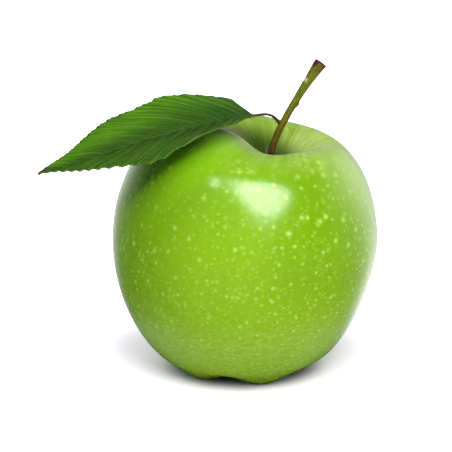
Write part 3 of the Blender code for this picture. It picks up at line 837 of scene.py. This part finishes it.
def make_stem():
    """The stem with lengthwise ridges, a bud scar and an uneven cut end."""
    root = grow_on_axis(SOCKET_FLOOR + STEM_CLEARANCE, SECTION[1][1])
    corners = np.concatenate([root, np.array(STEM_PATH)])
    knots = chord_lengths(corners)
    share = np.linspace(0, 1, STEM_RINGS + 1)
    path = spline_at(corners, knots, share * knots[-1])
    turn = np.arange(STEM_SIDES) * 2 * math.pi / STEM_SIDES
    at = share[:, None]
    ridges = 0.025 * np.sin(5 * turn + 3 * at) + 0.02 * np.sin(9 * turn - 7 * at)
    knobs = 0.03 * np.sin(26 * at + 2 * np.sin(turn)) * np.sin(3 * turn + 11 * at)
    across = np.angle(np.exp(1j * (turn - math.pi)))
    bud = BUD_HEIGHT * np.exp(-(((at - BUD_AT) / BUD_LENGTH) ** 2)) * np.exp(-((across / BUD_WIDTH) ** 2))
    radii = table_at(STEM_RADII, at) * (1 + ridges + knobs) + bud
    points, faces = tube(path, radii, STEM_SIDES, CUT_DISH)
    turn_at = points_at(np.cos(turn), np.sin(turn), at * knots[-1]).reshape(-1, 3)
    marks = {
        "along": np.append(np.repeat(share, STEM_SIDES), [0.0, 1.0]),
        "turn_at": np.concatenate([turn_at, [(0, 0, 0), (0, 0, knots[-1])]]),
    }
    stem = add_piece("apple_stem", points, faces, [stem_material()], marks=marks)
    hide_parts("stem")
    return stem


def along_leaf(table, share):
    """A table's value at shares of the midrib's length, on a smooth curve."""
    shares, values = np.array(table).T
    return spline_at(values[:, None], shares, np.clip(share, 0.0, 1.0))[:, 0]


def vein_ends(origin, length):
    """The share of the midrib's length abreast of which each vein meets the margin."""
    slope = np.tan(np.radians(along_leaf(VEIN_ANGLE, origin)))
    low, high = origin.copy(), np.ones_like(origin)
    for _ in range(40):
        middle = (low + high) / 2
        short = (middle - origin) * length * slope < along_leaf(LEAF_WIDTHS, middle)
        low, high = np.where(short, middle, low), np.where(short, high, middle)
    return high


def margin_teeth(phase, width):
    """How far the teeth stand out. Each vein ends in the tip of one that slopes up from the one before."""
    falling = phase < TOOTH_DROP
    tooth = TOOTH_DEPTH * np.where(falling, 1 - phase / TOOTH_DROP, (phase - TOOTH_DROP) / (1 - TOOTH_DROP))
    tooth -= SMALL_TOOTH_DEPTH * np.mod(-SMALL_TEETH * phase, 1.0) * np.where(falling, 0.3, 1.0)
    return tooth * np.clip(width / 6.0, 0.15, 1.0)


def rib_axes(share, length):
    """The midrib's place at shares of its length, carried straight on past its ends, its side and its up."""
    corners = np.array(MIDRIB)
    knots = chord_lengths(corners)
    inside = np.clip(share, 0.0, 1.0)
    ahead = spline_at(corners, knots, np.clip(inside + 0.01, 0, 1) * length)
    behind = spline_at(corners, knots, np.clip(inside - 0.01, 0, 1) * length)
    along = unit(ahead - behind)
    centre = spline_at(corners, knots, inside * length) + along * ((share - inside) * length)[:, None]
    side = unit(np.cross(along, (0.0, 0.0, 1.0)))
    return centre, side, np.cross(side, along)


def blade_relief(phase, gap, out, across, share, half, width):
    """The blade swells between its veins, is grooved along them and the midrib, and waves at its margin."""
    body = math.sin(math.pi * min(across, 0.95)) ** 0.5
    pucker = -PUCKER * np.cos(2 * math.pi * phase) * body
    pucker -= VEIN_GROOVE * np.exp(-((gap / VEIN_GROOVE_WIDTH) ** 2)) * body
    groove = -MIDRIB_GROOVE * np.exp(-((out / MIDRIB_GROOVE_WIDTH) ** 2))
    wave = WAVE_HEIGHT * np.sin(2 * math.pi * WAVE_COUNT * share + half) * across**2
    return pucker + groove + wave * np.clip(width / 8, 0, 1)


def leaf_surface():
    """The blade's middle surface as points[column, row], its normals, and the marks its materials read."""
    length = chord_lengths(MIDRIB)[-1]
    columns = VEINS * STEPS_PER_VEIN + 1
    origin = np.linspace(0.0, 1.0, columns)  # where each vein leaves the midrib, as a share of its length
    phase = (np.arange(columns) % STEPS_PER_VEIN) / STEPS_PER_VEIN
    gap = np.minimum(phase, 1 - phase) * length / VEINS * math.sin(VEIN_SLANT)
    reach = vein_ends(origin, length)
    width = along_leaf(LEAF_WIDTHS, reach)
    rise = {1.0: np.radians(along_leaf(FAR_RISE, reach)), -1.0: np.radians(along_leaf(NEAR_RISE, reach))}
    tooth = margin_teeth(phase, width)
    side_rows = np.linspace(0, 1, BLADE_ROWS + 1) ** 0.9
    rows = np.concatenate([-side_rows[:0:-1], side_rows])
    points = np.zeros((columns, len(rows), 3))
    marks = {name: np.zeros((columns, len(rows))) for name in BLADE_MARKS}
    streak_at = np.zeros((columns, len(rows), 3))
    for j, row in enumerate(rows):
        across = abs(row)
        half = 1.0 if row >= 0 else -1.0
        share = origin + (reach - origin) * across**1.15
        centre, side, up = rib_axes(share, length)
        out = (width + tooth * across**4) * across
        # The half's angle above the blade's own plane falls off towards the margin.
        angle = rise[half] + LEAF_CUP * (0.5 - np.linspace(0.0, across, 9)[:, None])
        flat = half * out * np.mean(np.cos(angle), axis=0)
        lift = out * np.mean(np.sin(angle), axis=0)
        lift = lift + blade_relief(phase, gap, out, across, share, half, width)
        points[:, j] = centre + side * flat[:, None] + up * lift[:, None]
        for name, value in zip(BLADE_MARKS, (gap, out, across, share, half * min(1.0, across * 12))):
            marks[name][:, j] = value
        streak_at[:, j] = points_at(origin * length, out, half)
    normals = unit(np.cross(np.gradient(points, axis=0), np.gradient(points, axis=1)))
    if normals[columns // 2, len(rows) // 2, 2] < 0:
        normals = -normals
    return points, normals, {**marks, "streak_at": streak_at}


def blade_mesh(points, normals, thickness):
    """A closed blade: its points, its faces, and for each face 1 if it is underneath and 0 if not."""
    columns, rows = points.shape[:2]
    count = columns * rows
    top = (points + normals * thickness / 2).reshape(-1, 3)
    bottom = (points - normals * thickness / 2).reshape(-1, 3)
    i, j = np.meshgrid(np.arange(columns - 1), np.arange(rows - 1), indexing="ij")
    a = (i * rows + j).ravel()
    quads = np.stack([a, a + rows, a + rows + 1, a + 1], axis=-1)
    faces = quads.tolist() + (quads[:, ::-1] + count).tolist()
    edge = [i * rows for i in range(columns)]
    edge += [(columns - 1) * rows + j for j in range(1, rows)]
    edge += [i * rows + rows - 1 for i in range(columns - 2, -1, -1)]
    edge += list(range(rows - 2, 0, -1))
    faces += [(b, a, a + count, b + count) for a, b in zip(edge, edge[1:] + edge[:1])]
    under = [0] * len(quads) + [1] * len(quads) + [0] * len(edge)
    return np.concatenate([top, bottom]), faces, under


def make_leaf():
    """The blade, and the rib that runs under it and on as the petiole."""
    points, normals, marks = leaf_surface()
    for name, values in marks.items():
        marks[name] = np.concatenate([values.reshape(-1, *values.shape[2:])] * 2)
    blade_points, blade_faces, under = blade_mesh(points, normals, BLADE_THICKNESS)
    materials = [leaf_top_material(), leaf_underside_material()]
    blade = add_piece("leaf_blade", blade_points, blade_faces, materials, under, marks)
    middle = points.shape[1] // 2
    below = points[:, middle] - normals[:, middle] * (BLADE_THICKNESS / 2 + RIB_SUNK)
    path = spline(np.concatenate([below[-12:16:-STEPS_PER_VEIN], PETIOLE]), RIB_SPACING)
    share = np.linspace(0, 1, len(path))
    rib_points, rib_faces = tube(path, table_at(RIB_RADII, share), RIB_SIDES)
    rib_marks = {"along": np.append(np.repeat(share, RIB_SIDES), [0.0, 1.0])}
    rib = add_piece("leaf_rib_and_petiole", rib_points, rib_faces, [rib_material()], marks=rib_marks)
    for piece in (blade, rib):
        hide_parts("leaf")
    return [blade, rib]


def sepal(index):
    """A pointed dried sepal that hangs from the disc, turns out at its tip and is wrinkled and curled."""
    azimuth = LOBE_AZIMUTH + (index + 0.5) * 2 * math.pi / SEPALS
    outward = np.array([math.cos(azimuth), math.sin(azimuth), 0.0])
    across = np.array([-math.sin(azimuth), math.cos(azimuth), 0.0])
    upward = np.array([0, 0, 1.0])
    share = np.linspace(0.0, 1.0, SEPAL_COLUMNS)
    turn = math.radians(-100) + math.radians(75) * share**1.5 + math.radians(6) * math.sin(2.3 * index)
    step = SEPAL_LENGTH / (SEPAL_COLUMNS - 1)
    out = SEPAL_FROM + np.concatenate([[0], np.cumsum(np.cos(turn[:-1]) * step)])
    down = np.concatenate([[0], np.cumsum(np.sin(turn[:-1]) * step)])
    width = SEPAL_WIDTH / 2 * np.sqrt(np.clip(1 - share**1.6, 0.01, 1))
    middle = out[:, None] * outward + upward * (CALYX_TOP - CALYX_DISC_HEIGHT * 0.5 + down)[:, None]
    normal = -np.sin(turn)[:, None] * outward + np.cos(turn)[:, None] * upward
    rows = np.linspace(-1.0, 1.0, SEPAL_ROWS)
    points = middle[:, None] + rows[None, :, None] * width[:, None, None] * across
    curl = 0.5 * np.abs(rows)[None, :] + 0.12 * np.sin(9 * rows[None, :] + 14 * share[:, None] + index)
    points = points - normal[:, None] * curl[:, :, None]
    return points, np.repeat(normal[:, None], SEPAL_ROWS, axis=1)


def stamen(index):
    """A thin, bent thread with a swollen end, hanging from the disc."""
    azimuth = index * 2 * math.pi / STAMENS
    spread = 0.9 + 0.35 * math.sin(3.1 * index)
    outward = np.array([math.cos(azimuth), math.sin(azimuth), 0.0])
    foot = STAMEN_FROM * outward + (0.0, 0.0, CALYX_TOP - CALYX_DISC_HEIGHT * 0.5)
    share = np.linspace(0, 1, 15)
    path = foot + (spread * outward - (0.0, 0.0, STAMEN_LENGTH)) * share[:, None]
    path[:, 0] += 0.15 * np.sin(5 * share + index)
    path[:, 1] += 0.15 * np.sin(4 * share + 2 * index)
    return tube(path, STAMEN_RADIUS * table_at(STAMEN_RADII, share), 10)


def make_calyx():
    """Disc, sepals and stamens, all of the same dry tissue."""
    dry = calyx_material()
    share = np.linspace(0, 1, 9)
    heights = CALYX_TOP + CALYX_DISC_RISE - share * (CALYX_DISC_HEIGHT + CALYX_DISC_RISE)
    path = np.array([(0.0, 0.0, height) for height in heights])
    disc = tube(path, CALYX_DISC_RADIUS * table_at(CALYX_DISC_RADII, share), 40)
    pieces = [add_piece("calyx_disc", *disc, [dry])]
    for index in range(SEPALS):
        points, faces, _ = blade_mesh(*sepal(index), SEPAL_THICKNESS)
        pieces.append(add_piece(f"calyx_sepal_{index + 1}", points, faces, [dry]))
    for index in range(STAMENS):
        pieces.append(add_piece(f"calyx_stamen_{index + 1}", *stamen(index), [dry]))
    for piece in pieces:
        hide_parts("calyx")
    return pieces


# Studio


def make_table():
    half, low = TABLE_HALF * MM, -TABLE_DROP * MM
    mesh = bpy.data.meshes.new("table_top")
    corners = [(-half, -half, low), (half, -half, low), (half, half, low), (-half, half, low)]
    mesh.from_pydata(corners, [], [(0, 1, 2, 3)])
    mesh.materials.append(table_material())
    table = bpy.data.objects.new("table_top", mesh)
    bpy.context.scene.collection.objects.link(table)


def light_room():
    """Pale walls that are brightest overhead as light, and behind the apple in gleams."""
    world = bpy.data.worlds.new("pale_room")
    bpy.context.scene.world = world
    nodes = Nodes(world)
    toward = nodes.node("ShaderNodeTexCoord").outputs["Generated"]
    path = nodes.node("ShaderNodeLightPath").outputs
    strength = room_light(nodes, toward, path["Is Glossy Ray"])
    # The camera sees plain white.
    strength = nodes.greatest(strength, path["Is Camera Ray"])
    background = nodes.tree.nodes["Background"]
    nodes.put(background.inputs["Strength"], strength)
    nodes.put(background.inputs["Color"], (*WHITE, 1.0))


def aim(obj, at, to):
    obj.location = (Vector(at) + FOOT) * MM
    obj.rotation_euler = (Vector(to) - Vector(at)).to_track_quat("-Z", "Y").to_euler()


def light_boxes():
    for boxes, lighting in ((SOFT_BOXES, True), (GLEAM_BOXES, False)):
        for name, facing, along, distance, width, height, power in boxes:
            light = bpy.data.lights.new(name, "AREA")
            light.shape = "ELLIPSE"
            light.size, light.size_y = width * MM, height * MM
            light.energy = power
            box = bpy.data.objects.new(name, light)
            box.visible_diffuse = lighting
            bpy.context.scene.collection.objects.link(box)
            aim(box, Vector(facing) + Vector(along).normalized() * distance, facing)


def place_camera():
    camera = bpy.data.cameras.new("camera")
    camera.lens, camera.sensor_width = CAMERA_LENS, CAMERA_SENSOR
    camera.clip_end = 20.0
    eye = bpy.data.objects.new("camera", camera)
    bpy.context.scene.collection.objects.link(eye)
    aim(eye, CAMERA_AT, CAMERA_AIM)
    bpy.context.scene.camera = eye


def main():
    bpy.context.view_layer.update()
    pieces = [make_skin(), make_stem()] + make_leaf() + make_calyx()
    for piece in pieces:
        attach(piece, "root")
    make_table()
    light_room()
    light_boxes()
    place_camera()
    bpy.context.scene.view_settings.view_transform = "Standard"


main()
